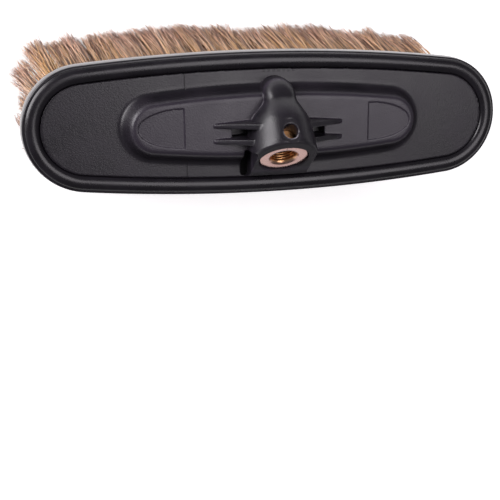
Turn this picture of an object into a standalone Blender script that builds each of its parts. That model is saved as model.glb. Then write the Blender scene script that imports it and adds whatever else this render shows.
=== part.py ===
"""Wash brush head: a moulded back with a brass inlet, a rubber bumper ring, a board and natural bristle.

Metres, +Z up. The head stands on its bristle tips, so the floor is z = 0 and the inlet is on top.
X runs along the head, and the inlet's mouth looks to -Y and upwards.
"""
import math

import bmesh
import bpy
from mathutils import Matrix, Vector

# Head outline: an oval of four arcs; the crown is its half width less the radius of its ends
HEAD_LENGTH = 0.250
HEAD_WIDTH = 0.072
HEAD_CROWN = 0.005
RIM_HEIGHT = 0.017
TRIM_LENGTH = 0.083

# Fits and cuts
FIT_GAP = 0.0003
OVERRUN = 0.002

# Bumper ring section, measured inwards from the outer wall and up from the rim's edge
FLANGE_WIDTH = 0.0024
GROOVE_WIDTH = 0.0012
GROOVE_DEPTH = 0.0007
BEAD_WIDTH = 0.0044
BEAD_HEIGHT = 0.0018
LIP_WIDTH = 0.0086
LIP_THICKNESS = 0.0020
WALL_BULGE = 0.0003
RING_WALL = 0.0032

# Back shell
SHELL_WALL = 0.0030
FLOOR_RISE = 0.0005
BOARD_THICKNESS = 0.0075
BOARD_RECESS = 0.0005
SKIRT_WALL = 0.0035
SHELF_DROP = 0.0030

# Raised water channel on the back; its foot passes outside the line of the board's screws
CHANNEL_END_MARGIN = 0.044
CHANNEL_SCREW_OVERLAP = 0.00365
CHANNEL_CROWN = 0.0035
CHANNEL_RISE = 0.0092
SHOULDER_RUN = 0.0115
CHANNEL_WALL = 0.0050
GASKET_GROOVE_WIDTH = 0.0028
GASKET_GROOVE_DEPTH = 0.0022

# Inlet: mouth centre from the rim's upper edge, and its tilt from the vertical
INLET_FORWARD = 0.0163
INLET_HEIGHT = 0.0190
INLET_TILT = math.radians(55.8)
COLLAR_RADIUS = 0.0170
COLLAR_EDGE = 0.0021
COLLAR_CORNER = 0.0032
COLLAR_LENGTH = 0.0065
COLLAR_TAPER = 0.0040
COLLAR_RISE = 0.0020
BARREL_RADIUS = 0.0161
BARREL_RISE = 0.0050
BARREL_LENGTH = 0.0150
BARREL_END_LENGTH = 0.0174
BOSS_FRONT_MARGIN = 0.0009
BOSS_DROP = 0.0400
BOSS_ROOT = 0.0045

# Duct ridge and its round end behind the barrel
NECK_RADIUS = 0.0068
NECK_START_BACK = 0.0060
NECK_START_HEIGHT = 0.0130
NECK_END_RISE = 0.0010
BULB_RADIUS = 0.0081
BULB_BACK = 0.0163
BULB_HEIGHT = 0.0052

# Hole in the housing's top for a locking screw, with its flat seat
LOCK_BACK = 0.0062
LOCK_RADIUS = 0.0036
LOCK_SEAT_WIDTH = 0.0106
LOCK_SEAT_LENGTH = 0.0060
LOCK_SEAT_DEPTH = 0.0009
LOCK_TAPPING_RADIUS = 0.0021

# Bare D-shaped panels sunk in the channel's top, placed by shares of the flat beyond the ribs
PANEL_NEAR_SHARE = 0.408
PANEL_FAR_SHARE = 1.022
PANEL_SIDE_MARGIN = 0.0020
PANEL_DEPTH = 0.0004

# Gusset ribs and the low ramps between them
RIB_TIP = 0.0330
RIB_ROOT = 0.0128
RIB_THICKNESS = 0.0034
RIB_TIP_THICKNESS = 0.0010
RIB_TOP_SHARE = 0.5
RIB_TIP_RISE = 0.0007
RIB_ROOT_RISE = 0.0128
RIB_BACK = 0.0007
RIB_SPACING = 0.0077
RAMP_TIP = 0.0250
RAMP_TIP_RISE = 0.0003
RAMP_ROOT_RISE = 0.0018

# Brass inlet insert, G 1/4 inside
INSERT_RADIUS = 0.0118
INSERT_LENGTH = 0.0160
INSERT_RECESS = 0.0006
INSERT_BORE_RADIUS = 0.0059
INSERT_MOUTH_RADIUS = 0.0072
INSERT_EDGE = 0.0004
DUCT_RADIUS = 0.0045

# Board screws
SCREW_COUNT = 10
SCREW_HEAD_RADIUS = 0.00275
SCREW_HEAD_HEIGHT = 0.0018
SCREW_SHANK_RADIUS = 0.00145
SCREW_LENGTH = 0.0105
SCREW_POINT = 0.0015
SCREW_HEAD_SINK = 0.0004
SCREW_POST_RADIUS = 0.0032

# Water outlets through the board
OUTLET_COUNT = 7
OUTLET_END_MARGIN = 0.033
OUTLET_RADIUS = 0.0011

# Bristle: tufts along rings, each ring on its own slice of the board's face
OUTER_RING_SHARE = 0.325
MIDDLE_RING_SHARE = 0.600
CORE_WIDTH_SHARE = 0.156
CORE_END_MARGIN = 0.032
CORE_CROWN = 0.0006
TUFT_PITCH = 0.0104
SLICE_WIDTH = 0.0032
SLICE_THICKNESS = 0.0012
STRANDS_PER_TUFT = 3
STRAND_ROOT_RADIUS = 0.00065
STRAND_TIP_RADIUS = 0.0014
STRAND_ROOT_OFFSET = 0.00085
STRAND_TIP_OFFSET = 0.0029
STRAND_ROOT_DEPTH = 0.0007
TRIM_SPREAD_LENGTH = 0.262
TRIM_SPREAD_WIDTH = 0.096

# Counts of facets
END_STEPS = 14
SIDE_STEPS = 8
SHOULDER_STEPS = 5
BEAD_STEPS = 6
ROUND_STEPS = 32
HALF_ROUND_STEPS = 16
BORE_STEPS = 20
SMALL_STEPS = 10
BARREL_END_STEPS = 7
FILLET_STEPS = 3
DOME_STEPS = 7
CORNER_FADE = 4
SMOOTH_ANGLE = math.radians(35)
MERGE_DISTANCE = 0.00001

# Sizes worked out from those above
RIM_BOTTOM = TRIM_LENGTH
RIM_TOP = RIM_BOTTOM + RIM_HEIGHT
RIM_MIDDLE = (RIM_BOTTOM + RIM_TOP) / 2
FLOOR = RIM_TOP + FLOOR_RISE
CHANNEL_TOP = FLOOR + CHANNEL_RISE
BOARD_FACE = RIM_BOTTOM + BOARD_RECESS
BOARD_TOP = BOARD_FACE + BOARD_THICKNESS
SHELL_BOTTOM = BOARD_TOP + FIT_GAP
FLANGE_TOP = RIM_TOP - LIP_THICKNESS - FIT_GAP
BOARD_STEP = RIM_BOTTOM + LIP_THICKNESS + FIT_GAP
POCKET_TOP = FLOOR - SHELL_WALL
SHELF = POCKET_TOP - SHELF_DROP
BODY_INSET = LIP_WIDTH + FIT_GAP
FLANGE_INSET = RING_WALL + FIT_GAP
OUTER_RING_INSET = HEAD_WIDTH / 2 * OUTER_RING_SHARE
MIDDLE_RING_INSET = HEAD_WIDTH / 2 * MIDDLE_RING_SHARE
SCREW_INSET = (OUTER_RING_INSET + MIDDLE_RING_INSET) / 2
CHANNEL_LENGTH = HEAD_LENGTH - 2 * CHANNEL_END_MARGIN
CHANNEL_WIDTH = HEAD_WIDTH - 2 * (SCREW_INSET - CHANNEL_SCREW_OVERLAP)
CORE_LENGTH = HEAD_LENGTH - 2 * CORE_END_MARGIN
CORE_WIDTH = HEAD_WIDTH * CORE_WIDTH_SHARE
OUTLET_PITCH = (CORE_LENGTH - 2 * OUTLET_END_MARGIN) / (OUTLET_COUNT - 1)
FLAT_BEYOND_RIBS = CHANNEL_LENGTH / 2 - SHOULDER_RUN - RIB_TIP
PANEL_NEAR = RIB_TIP + FLAT_BEYOND_RIBS * PANEL_NEAR_SHARE
PANEL_FAR = RIB_TIP + FLAT_BEYOND_RIBS * PANEL_FAR_SHARE
PANEL_WIDTH = CHANNEL_WIDTH - 2 * (SHOULDER_RUN + PANEL_SIDE_MARGIN)
BOSS_FRONT = HEAD_WIDTH / 2 - BODY_INSET - BOSS_FRONT_MARGIN

# Ovals: half length, half width and end radius
HEAD = (HEAD_LENGTH / 2, HEAD_WIDTH / 2, HEAD_WIDTH / 2 - HEAD_CROWN)
CHANNEL = (CHANNEL_LENGTH / 2, CHANNEL_WIDTH / 2, CHANNEL_WIDTH / 2 - CHANNEL_CROWN)
CORE = (CORE_LENGTH / 2, CORE_WIDTH / 2, CORE_WIDTH / 2 - CORE_CROWN)

parts = bpy.data.collections.new("wash_brush_head")
cutters = bpy.data.collections.new("cutters")


# Ovals

def oval_arcs(oval, inset=0.0):
    """The five arcs of an oval drawn in by inset, from the +X end: centre, radius, start and sweep."""
    half_length, half_width, end_radius = (size - inset for size in oval)
    reach = half_length - end_radius
    side_radius = (reach ** 2 + half_width ** 2 - end_radius ** 2) / (2 * (half_width - end_radius))
    drop = side_radius - half_width
    turn = math.atan2(drop, reach)
    side_sweep = math.pi - 2 * turn
    return [
        ((reach, 0.0), end_radius, 0.0, turn),
        ((0.0, -drop), side_radius, turn, side_sweep),
        ((-reach, 0.0), end_radius, math.pi - turn, 2 * turn),
        ((0.0, drop), side_radius, math.pi + turn, side_sweep),
        ((reach, 0.0), end_radius, -turn, turn),
    ]


def arc_point(arc, share):
    """The point at a share of an arc, and the outward direction there."""
    (x, y), radius, start, sweep = arc
    angle = start + sweep * share
    outward = Vector((math.cos(angle), math.sin(angle), 0.0))
    return Vector((x, y, 0.0)) + outward * radius, outward


def oval_loop(oval, inset=0.0):
    """Points of an oval in order, with the same count and directions at every inset."""
    steps = (END_STEPS // 2, SIDE_STEPS, END_STEPS, SIDE_STEPS, END_STEPS // 2)
    points = []
    for arc, count in zip(oval_arcs(oval, inset), steps):
        points += [arc_point(arc, step / count)[0] for step in range(count)]
    return points


def oval_station(oval, inset, share):
    """The point and outward direction at a share of the oval's length."""
    arcs = oval_arcs(oval, inset)
    lengths = [radius * sweep for _, radius, _, sweep in arcs]
    left = (share % 1.0) * sum(lengths)
    for arc, length in zip(arcs, lengths):
        if left <= length:
            return arc_point(arc, left / length)
        left -= length
    return arc_point(arcs[-1], 1.0)


def oval_length(oval, inset):
    return sum(radius * sweep for _, radius, _, sweep in oval_arcs(oval, inset))


# Objects and modifiers

def principled(name, colour, roughness, metallic=0.0):
    material = bpy.data.materials.new(name)
    material.use_nodes = True
    shader = material.node_tree.nodes["Principled BSDF"]
    shader.inputs["Base Color"].default_value = (*colour, 1.0)
    shader.inputs["Roughness"].default_value = roughness
    shader.inputs["Metallic"].default_value = metallic
    return material


def mesh_object(name, mesh, collection):
    thing = bpy.data.objects.new(name, mesh)
    collection.objects.link(thing)
    if collection is cutters:
        thing.hide_render = True
        thing.display_type = "WIRE"
    return thing


def from_bmesh(name, bm, collection, smooth_angle=0.0):
    bmesh.ops.recalc_face_normals(bm, faces=bm.faces)
    mesh = bpy.data.meshes.new(name)
    bm.to_mesh(mesh)
    bm.free()
    if smooth_angle:
        mesh.shade_smooth()
        mesh.set_sharp_from_angle(angle=smooth_angle)
    return mesh_object(name, mesh, collection)


def skin(name, loops, collection, closed=False):
    """A skin over loops with the same count of points, capped at both ends, or closed on itself."""
    bm = bmesh.new()
    rings = [[bm.verts.new(point) for point in loop] for loop in loops]
    pairs = list(zip(rings, rings[1:]))
    if closed:
        pairs.append((rings[-1], rings[0]))
    else:
        bm.faces.new(rings[0])
        bm.faces.new(rings[-1])
    for lower, upper in pairs:
        for i in range(len(lower)):
            j = (i + 1) % len(lower)
            bm.faces.new((lower[i], lower[j], upper[j], upper[i]))
    return from_bmesh(name, bm, collection, SMOOTH_ANGLE)


def loft(name, sections, collection, closed=False):
    """A skin over ovals given as (oval, inset, z)."""
    loops = [[(p.x, p.y, z) for p in oval_loop(oval, inset)] for oval, inset, z in sections]
    return skin(name, loops, collection, closed)


def cylinder(name, radius, length, matrix, steps):
    """A round cutter from the matrix's origin along its +Z."""
    bm = bmesh.new()
    place = matrix @ Matrix.Translation((0.0, 0.0, length / 2))
    bmesh.ops.create_cone(bm, cap_ends=True, segments=steps, radius1=radius, radius2=radius,
                          depth=length, matrix=place)
    return from_bmesh(name, bm, cutters, SMOOTH_ANGLE)


def box(name, low, high):
    """A box cutter between two corners."""
    bm = bmesh.new()
    size = Vector(high) - Vector(low)
    middle = (Vector(high) + Vector(low)) / 2
    place = Matrix.Translation(middle) @ Matrix.Diagonal((*size, 1.0))
    bmesh.ops.create_cube(bm, size=1.0, matrix=place)
    return from_bmesh(name, bm, cutters)


def turned(name, profile, matrix, steps, collection):
    """A turned solid about the matrix's +Z, from (radius, height) points down its outer side."""
    mesh = bpy.data.meshes.new(name)
    mesh.from_pydata([(radius, 0.0, height) for radius, height in profile],
                     [(i, i + 1) for i in range(len(profile) - 1)], [])
    thing = mesh_object(name, mesh, collection)
    thing.matrix_world = matrix
    screw = thing.modifiers.new("turn", "SCREW")
    screw.axis = "Z"
    screw.steps = steps
    screw.render_steps = steps
    screw.use_merge_vertices = True
    screw.merge_threshold = MERGE_DISTANCE
    return apply_modifiers(thing)


def apply_modifiers(thing):
    """Makes the evaluated mesh the object's own."""
    bpy.context.view_layer.update()
    evaluated = thing.evaluated_get(bpy.context.evaluated_depsgraph_get())
    result = bpy.data.meshes.new_from_object(evaluated)
    thing.modifiers.clear()
    result.shade_smooth()
    result.set_sharp_from_angle(angle=SMOOTH_ANGLE)
    thing.data = result
    return thing


def combine(thing, other, operation):
    """Adds, cuts or keeps what is common with another solid, and applies it."""
    step = thing.modifiers.new(operation.lower(), "BOOLEAN")
    step.operation = operation
    step.object = other
    step.solver = "EXACT"
    return apply_modifiers(thing)


def finish(thing, material):
    thing.data.materials.clear()
    thing.data.materials.append(material)


def inlet_frame():
    """Origin at the middle of the inlet's mouth, +Z out along its axis, +Y up its face."""
    place = Matrix.Translation((0.0, -INLET_FORWARD, RIM_TOP + INLET_HEIGHT))
    return place @ Matrix.Rotation(INLET_TILT, 4, "X")


# Back shell

def shell_skin():
    """The moulding's skin in one run of ovals, from the water chamber's ceiling round to the top."""
    chamber = SHOULDER_RUN
    groove_side = (CHANNEL_WALL - GASKET_GROOVE_WIDTH) / 2
    groove_top = SHELL_BOTTOM + GASKET_GROOVE_DEPTH
    sections = [
        (CHANNEL, chamber, CHANNEL_TOP - SHELL_WALL),
        (CHANNEL, chamber, SHELL_BOTTOM),
        (CHANNEL, chamber - groove_side, SHELL_BOTTOM),
        (CHANNEL, chamber - groove_side, groove_top),
        (CHANNEL, chamber - groove_side - GASKET_GROOVE_WIDTH, groove_top),
        (CHANNEL, chamber - groove_side - GASKET_GROOVE_WIDTH, SHELL_BOTTOM),
        (CHANNEL, chamber - CHANNEL_WALL, SHELL_BOTTOM),
        (CHANNEL, chamber - CHANNEL_WALL, POCKET_TOP),
        (HEAD, BODY_INSET + SHELL_WALL, POCKET_TOP),
        (HEAD, BODY_INSET + SHELL_WALL, SHELF),
        (HEAD, FLANGE_INSET + SKIRT_WALL, SHELF),
        (HEAD, FLANGE_INSET + SKIRT_WALL, SHELL_BOTTOM),
        (HEAD, FLANGE_INSET, SHELL_BOTTOM),
        (HEAD, FLANGE_INSET, FLANGE_TOP),
        (HEAD, BODY_INSET, FLANGE_TOP),
        (HEAD, BODY_INSET, FLOOR),
    ]
    for step in range(SHOULDER_STEPS + 1):
        share = step / SHOULDER_STEPS
        rise = CHANNEL_RISE * (1 - math.cos(math.pi * share)) / 2
        sections.append((CHANNEL, SHOULDER_RUN * share, FLOOR + rise))
    return loft("back_shell", sections, parts)


def boss_rise(depth):
    """How much higher the housing's round top stands over the inlet's axis than its half width."""
    return COLLAR_RISE + (BARREL_RISE - COLLAR_RISE) * min(depth / BARREL_LENGTH, 1.0)


def boss_outline(depths, radii):
    """A round top on two straight legs, from the depth and radius of each leg foot and each step."""
    outline = []
    for number, (depth, radius) in enumerate(zip(depths, radii)):
        if number < 2:
            outline.append((radius * (2 * number - 1), -BOSS_DROP, -depth))
        else:
            angle = math.pi * (number - 2) / HALF_ROUND_STEPS
            height = radius * (1 + boss_rise(depth) / BARREL_RADIUS)
            outline.append((radius * math.cos(angle), height * math.sin(angle), -depth))
    return outline


def boss_face(share):
    """The face's rounded edge at a share of its quarter turn: fine over the top, broad down the sides."""
    turn = math.pi / 2 * share
    sides = [1.0, 1.0]
    for step in range(HALF_ROUND_STEPS + 1):
        sides.append(abs(math.cos(math.pi * step / HALF_ROUND_STEPS)) ** CORNER_FADE)
    edges = [COLLAR_EDGE + (COLLAR_CORNER - COLLAR_EDGE) * side for side in sides]
    depths = [edge * (1 - math.cos(turn)) for edge in edges]
    radii = [COLLAR_RADIUS - edge * (1 - math.sin(turn)) for edge in edges]
    return boss_outline(depths, radii)


def boss_sections():
    """Depths behind the mouth and half widths: collar, taper, barrel and round end."""
    sections = [(COLLAR_LENGTH, COLLAR_RADIUS), (COLLAR_LENGTH + COLLAR_TAPER, BARREL_RADIUS)]
    for step in range(BARREL_END_STEPS):
        angle = math.pi / 2 * step / BARREL_END_STEPS
        depth = BARREL_LENGTH + BARREL_END_LENGTH * math.sin(angle)
        sections.append((depth, BARREL_RADIUS * math.cos(angle)))
    return sections


def make_boss():
    """The inlet's housing: a round top on straight walls that run down into the floor."""
    frame = inlet_frame()
    outlines = [boss_face(step / FILLET_STEPS) for step in range(FILLET_STEPS + 1)]
    points = HALF_ROUND_STEPS + 3
    outlines += [boss_outline([depth] * points, [radius] * points) for depth, radius in boss_sections()]
    loops = [[frame @ Vector(point) for point in outline] for outline in outlines]
    boss = skin("boss", loops, cutters)
    reach = COLLAR_RADIUS + OVERRUN
    limit = box("boss_limit", (-reach, -BOSS_FRONT, FLOOR - BOSS_ROOT), (reach, HEAD_WIDTH, HEAD_LENGTH))
    return combine(boss, limit, "INTERSECT")


def panel(name, side):
    """A shallow D-shaped sinking with its flat side towards the inlet."""
    bm = bmesh.new()
    reach = PANEL_FAR - PANEL_NEAR
    corners = []
    for step in range(SMALL_STEPS + 1):
        angle = math.pi * (step / SMALL_STEPS - 1 / 2)
        corners.append((PANEL_NEAR + reach * math.cos(angle), PANEL_WIDTH / 2 * math.sin(angle)))
    floor = CHANNEL_TOP - PANEL_DEPTH
    face = bm.faces.new([bm.verts.new((side * x, y, floor)) for x, y in corners])
    raised = bmesh.ops.extrude_face_region(bm, geom=[face])
    tops = [item for item in raised["geom"] if isinstance(item, bmesh.types.BMVert)]
    bmesh.ops.translate(bm, verts=tops, vec=(0.0, 0.0, PANEL_DEPTH + OVERRUN))
    return from_bmesh(name, bm, cutters)


def bulb_profile():
    """A round post with a dome on top, for the duct's far end."""
    equator = SHELL_WALL / 2 + BULB_HEIGHT
    points = []
    for step in range(DOME_STEPS + 1):
        angle = math.pi / 2 * (1 - step / DOME_STEPS)
        points.append((BULB_RADIUS * math.cos(angle), equator + BULB_RADIUS * math.sin(angle)))
    points[0] = (0.0, equator + BULB_RADIUS)
    return points + [(BULB_RADIUS, 0.0), (0.0, 0.0)]


def gusset(name, side, back, tip, rises, thicknesses, top_share):
    """A rib or ramp from its tip on the channel's top up to the barrel; pairs run from tip to root."""
    bm = bmesh.new()
    bmesh.ops.create_cube(bm, size=2.0)
    for vert in bm.verts:
        at_tip = vert.co.x > 0
        at_top = vert.co.z > 0
        x = side * (tip if at_tip else RIB_ROOT)
        thickness = thicknesses[0 if at_tip else 1]
        y = back + vert.co.y * thickness / 2 * (top_share if at_top else 1.0)
        rise = rises[0 if at_tip else 1] if at_top else -SHELL_WALL / 2
        vert.co = (x, y, CHANNEL_TOP + rise)
    return from_bmesh(name, bm, cutters)


def screw_places():
    return [oval_station(HEAD, SCREW_INSET, i / SCREW_COUNT)[0] for i in range(SCREW_COUNT)]


def make_back_shell(material):
    shell = shell_skin()
    frame = inlet_frame()
    combine(shell, make_boss(), "UNION")
    bulb_foot = Matrix.Translation((0.0, BULB_BACK, FLOOR - SHELL_WALL / 2))
    combine(shell, turned("bulb", bulb_profile(), bulb_foot, ROUND_STEPS, cutters), "UNION")
    start = Vector((0.0, NECK_START_BACK, FLOOR + NECK_START_HEIGHT))
    end = Vector((0.0, BULB_BACK, FLOOR + BULB_HEIGHT + NECK_END_RISE))
    along = (end - start).to_track_quat("Z", "Y").to_matrix().to_4x4()
    neck = Matrix.Translation(start) @ along
    combine(shell, cylinder("neck", NECK_RADIUS, (end - start).length, neck, ROUND_STEPS), "UNION")
    for side in (-1, 1):
        for number in range(2):
            rib = gusset("rib", side, RIB_BACK - RIB_SPACING * number, RIB_TIP,
                         (RIB_TIP_RISE, RIB_ROOT_RISE), (RIB_TIP_THICKNESS, RIB_THICKNESS), RIB_TOP_SHARE)
            combine(shell, rib, "UNION")
        ramp = gusset("ramp", side, RIB_BACK - RIB_SPACING / 2, RAMP_TIP,
                      (RAMP_TIP_RISE, RAMP_ROOT_RISE), (RIB_SPACING, RIB_SPACING), 1.0)
        combine(shell, ramp, "UNION")
        combine(shell, panel("panel", side), "DIFFERENCE")
    post_length = POCKET_TOP - SHELL_BOTTOM + SHELL_WALL / 2
    for place in screw_places():
        foot = Matrix.Translation((place.x, place.y, SHELL_BOTTOM))
        combine(shell, cylinder("post", SCREW_POST_RADIUS, post_length, foot, SMALL_STEPS), "UNION")
    socket_depth = INSERT_RECESS + INSERT_LENGTH + FIT_GAP
    socket = frame @ Matrix.Translation((0.0, 0.0, -socket_depth))
    bore = cylinder("socket", INSERT_RADIUS + FIT_GAP, socket_depth + OVERRUN, socket, ROUND_STEPS)
    combine(shell, bore, "DIFFERENCE")
    duct_foot = Matrix.Translation((0.0, socket.translation.y, SHELL_BOTTOM - OVERRUN))
    duct_length = socket.translation.z + DUCT_RADIUS - SHELL_BOTTOM + OVERRUN
    combine(shell, cylinder("duct", DUCT_RADIUS, duct_length, duct_foot, BORE_STEPS), "DIFFERENCE")
    combine(shell, lock_seat(), "DIFFERENCE")
    hole = cylinder("lock_hole", LOCK_RADIUS, BARREL_RADIUS + COLLAR_RADIUS, lock_axis(), BORE_STEPS)
    combine(shell, hole, "DIFFERENCE")
    under_head = BOARD_FACE + SCREW_HEAD_SINK + SCREW_HEAD_HEIGHT
    pilot_length = under_head + SCREW_LENGTH + FIT_GAP - SHELL_BOTTOM + OVERRUN
    for place in screw_places():
        foot = Matrix.Translation((place.x, place.y, SHELL_BOTTOM - OVERRUN))
        pilot = cylinder("pilot", SCREW_SHANK_RADIUS + FIT_GAP, pilot_length, foot, SMALL_STEPS)
        combine(shell, pilot, "DIFFERENCE")
    finish(shell, material)


def lock_axis():
    """From the inlet's axis up through the housing's top, with -Y towards the mouth."""
    middle = inlet_frame() @ Matrix.Translation((0.0, 0.0, -LOCK_BACK))
    return middle @ Matrix.Rotation(-math.pi / 2, 4, "X")


def lock_seat():
    """A flat round the hole: round towards the mouth, straight sides behind."""
    bm = bmesh.new()
    floor = BARREL_RADIUS + boss_rise(LOCK_BACK) - LOCK_SEAT_DEPTH
    half = LOCK_SEAT_WIDTH / 2
    corners = [(half, LOCK_SEAT_LENGTH), (-half, LOCK_SEAT_LENGTH)]
    for step in range(HALF_ROUND_STEPS + 1):
        angle = math.pi * (1 + step / HALF_ROUND_STEPS)
        corners.append((half * math.cos(angle), half * math.sin(angle)))
    face = bm.faces.new([bm.verts.new((x, y, floor)) for x, y in corners])
    raised = bmesh.ops.extrude_face_region(bm, geom=[face])
    tops = [item for item in raised["geom"] if isinstance(item, bmesh.types.BMVert)]
    bmesh.ops.translate(bm, verts=tops, vec=(0.0, 0.0, COLLAR_RADIUS))
    bmesh.ops.transform(bm, verts=bm.verts, matrix=lock_axis())
    return from_bmesh("lock_seat", bm, cutters)


# Inlet insert

def make_inlet_insert(material):
    depth = INSERT_LENGTH
    mouth = INSERT_MOUTH_RADIUS - INSERT_BORE_RADIUS
    profile = [
        (INSERT_MOUTH_RADIUS, 0.0),
        (INSERT_RADIUS - INSERT_EDGE, 0.0),
        (INSERT_RADIUS, -INSERT_EDGE),
        (INSERT_RADIUS, -depth),
        (INSERT_BORE_RADIUS, -depth),
        (INSERT_BORE_RADIUS, -mouth),
        (INSERT_MOUTH_RADIUS, 0.0),
    ]
    place = inlet_frame() @ Matrix.Translation((0.0, 0.0, -INSERT_RECESS))
    insert = turned("inlet_insert", profile, place, ROUND_STEPS, parts)
    tapping = cylinder("lock_tapping", LOCK_TAPPING_RADIUS, COLLAR_RADIUS, lock_axis(), SMALL_STEPS)
    combine(insert, tapping, "DIFFERENCE")
    finish(insert, material)


# Bumper ring

def bead_edge(edge, sign):
    """The ring's edge seen in section: flange, groove and bead, from the outer wall inwards."""
    points = [
        (0.0, edge - sign * GROOVE_DEPTH),
        (GROOVE_DEPTH, edge),
        (FLANGE_WIDTH, edge),
        (FLANGE_WIDTH + GROOVE_WIDTH / 2, edge - sign * GROOVE_DEPTH),
    ]
    middle = FLANGE_WIDTH + GROOVE_WIDTH + BEAD_WIDTH / 2
    for step in range(BEAD_STEPS + 1):
        angle = math.pi * (1 - step / BEAD_STEPS)
        inset = middle + BEAD_WIDTH / 2 * math.cos(angle)
        points.append((inset, edge + sign * BEAD_HEIGHT * math.sin(angle)))
    points.append((LIP_WIDTH, edge - sign * LIP_THICKNESS))
    return points


def make_bumper_ring(material):
    upper = bead_edge(RIM_TOP, 1)
    lower = bead_edge(RIM_BOTTOM, -1)
    slot = [(RING_WALL, RIM_TOP - LIP_THICKNESS), (RING_WALL, RIM_BOTTOM + LIP_THICKNESS)]
    outline = upper + slot + lower[::-1] + [(-WALL_BULGE, RIM_MIDDLE)]
    sections = [(HEAD, inset + WALL_BULGE, z) for inset, z in outline]
    finish(loft("bumper_ring", sections, parts, closed=True), material)


# Bristle board

def slice_groove(oval, inset):
    """The board's groove for one ring's slice, from its inner side outwards."""
    half = SLICE_WIDTH / 2 + FIT_GAP
    depth = BOARD_FACE + SLICE_THICKNESS + FIT_GAP
    return [(oval, inset + half, BOARD_FACE), (oval, inset + half, depth), (oval, inset - half, depth),
            (oval, inset - half, BOARD_FACE)]


def make_bristle_board(material):
    sections = slice_groove(CORE, 0.0)
    sections += slice_groove(HEAD, MIDDLE_RING_INSET)
    sections += slice_groove(HEAD, OUTER_RING_INSET)
    sections += [(HEAD, BODY_INSET, BOARD_FACE), (HEAD, BODY_INSET, BOARD_STEP),
                 (HEAD, FLANGE_INSET, BOARD_STEP), (HEAD, FLANGE_INSET, BOARD_TOP)]
    board = loft("bristle_board", sections, parts)
    through = BOARD_THICKNESS + 2 * OVERRUN
    sink_length = OVERRUN + SCREW_HEAD_SINK + SCREW_HEAD_HEIGHT + FIT_GAP
    for place in screw_places():
        below = Matrix.Translation((place.x, place.y, BOARD_FACE - OVERRUN))
        sink = cylinder("sink", SCREW_HEAD_RADIUS + FIT_GAP, sink_length, below, SMALL_STEPS)
        combine(board, sink, "DIFFERENCE")
        clearance = cylinder("clearance", SCREW_SHANK_RADIUS + FIT_GAP, through, below, SMALL_STEPS)
        combine(board, clearance, "DIFFERENCE")
    for number in range(OUTLET_COUNT):
        x = OUTLET_PITCH * (number - (OUTLET_COUNT - 1) / 2)
        below = Matrix.Translation((x, 0.0, BOARD_FACE - OVERRUN))
        combine(board, cylinder("outlet", OUTLET_RADIUS, through, below, SMALL_STEPS), "DIFFERENCE")
    finish(board, material)


# Chamber gasket

def make_chamber_gasket(material):
    """A seal cord in the groove round the water chamber, resting on the board."""
    middle = SHOULDER_RUN - CHANNEL_WALL / 2
    half = GASKET_GROOVE_WIDTH / 2 - FIT_GAP
    top = SHELL_BOTTOM + GASKET_GROOVE_DEPTH - FIT_GAP
    sections = [(CHANNEL, middle + half, SHELL_BOTTOM), (CHANNEL, middle + half, top),
                (CHANNEL, middle - half, top), (CHANNEL, middle - half, SHELL_BOTTOM)]
    finish(loft("chamber_gasket", sections, parts, closed=True), material)


# Board screws

def make_board_screws(material):
    under_head = SCREW_HEAD_HEIGHT
    profile = [
        (0.0, SCREW_HEAD_HEIGHT + SCREW_LENGTH),
        (SCREW_SHANK_RADIUS, SCREW_HEAD_HEIGHT + SCREW_LENGTH - SCREW_POINT),
        (SCREW_SHANK_RADIUS, under_head),
        (SCREW_HEAD_RADIUS, under_head),
        (SCREW_HEAD_RADIUS, 0.0),
        (0.0, 0.0),
    ]
    for number, place in enumerate(screw_places(), 1):
        matrix = Matrix.Translation((place.x, place.y, BOARD_FACE + SCREW_HEAD_SINK))
        screw = turned(f"board_screw_{number}", profile, matrix, SMALL_STEPS, parts)
        finish(screw, material)


# Bristle rings

def strand_matrix(root, tip):
    """Leans a unit bar so that it runs from root to tip with both ends level."""
    lean = Matrix.Identity(4)
    lean[0][2] = tip.x - root.x
    lean[1][2] = tip.y - root.y
    lean[2][2] = tip.z - root.z
    return Matrix.Translation((root + tip) / 2) @ lean


def make_bristle_ring(name, oval, inset, material):
    """One slice of the board's face with its tufts, which lean outwards and end level on the floor."""
    half = SLICE_WIDTH / 2
    top = BOARD_FACE + SLICE_THICKNESS
    sections = [(oval, inset + half, BOARD_FACE), (oval, inset + half, top), (oval, inset - half, top),
                (oval, inset - half, BOARD_FACE)]
    ring = loft(name, sections, parts, closed=True)
    edge = STRAND_TIP_OFFSET + STRAND_TIP_RADIUS
    spread_x = (TRIM_SPREAD_LENGTH / 2 - edge) / (HEAD_LENGTH / 2 - OUTER_RING_INSET)
    spread_y = (TRIM_SPREAD_WIDTH / 2 - edge) / (HEAD_WIDTH / 2 - OUTER_RING_INSET)
    tufts = round(oval_length(oval, inset) / TUFT_PITCH)
    bm = bmesh.new()
    for tuft in range(tufts):
        centre, outward = oval_station(oval, inset, (tuft + 0.5) / tufts)
        for strand in range(STRANDS_PER_TUFT):
            turn = Matrix.Rotation(2 * math.pi * strand / STRANDS_PER_TUFT, 3, "Z")
            offset = turn @ outward
            root = centre + offset * STRAND_ROOT_OFFSET
            root.z = BOARD_FACE + STRAND_ROOT_DEPTH
            tip = Vector((centre.x * spread_x, centre.y * spread_y, 0.0))
            tip += offset * STRAND_TIP_OFFSET
            bmesh.ops.create_cone(bm, cap_ends=True, segments=3, radius1=STRAND_ROOT_RADIUS,
                                  radius2=STRAND_TIP_RADIUS, depth=1.0, matrix=strand_matrix(root, tip))
    strands = from_bmesh(name + "_strands", bm, cutters)
    combine(ring, strands, "UNION")
    finish(ring, material)
    return tufts * STRANDS_PER_TUFT


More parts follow.
